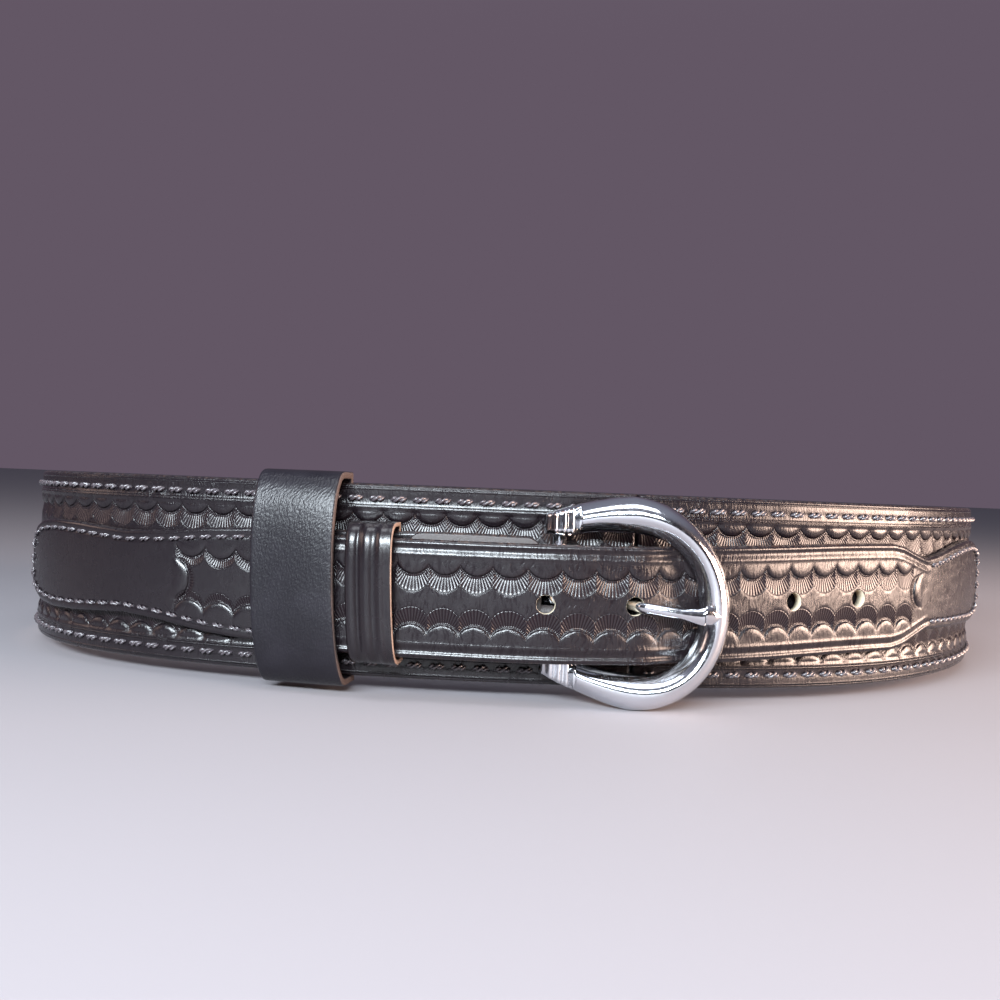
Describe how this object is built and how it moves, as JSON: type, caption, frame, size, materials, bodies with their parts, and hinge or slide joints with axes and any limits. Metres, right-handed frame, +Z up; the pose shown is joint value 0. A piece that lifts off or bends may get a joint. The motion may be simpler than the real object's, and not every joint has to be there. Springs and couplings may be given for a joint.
{
  "type": "western tooled belt",
  "caption": "Black tooled leather belt, fastened and standing on edge, with sewn overlay straps, two keepers and a chrome horseshoe buckle.",
  "frame": {"origin": "on the floor, under the middle of the standing belt's bounding box", "axes": "+Z up from the floor, -Y the front with the buckle, +X to the right in the front view"},
  "size_m": [0.2836, 0.2344, 0.0507],
  "materials": {
    "tooled_leather": "glossy black, pressed with a scallop pattern",
    "grained_leather": "soft satin black with a fine pebble grain",
    "buckle_chrome": "polished",
    "sewing_thread": "twisted, waxed, black"
  },
  "bodies": {
    "root": {"base_strap": "tooled_leather", "buckle_strap": "tooled_leather", "tongue_strap": "tooled_leather", "wide_keeper": "grained_leather", "ribbed_keeper": "tooled_leather", "buckle_frame": "buckle_chrome", "buckle_prong": "buckle_chrome"}
  },
  "joints": []
}
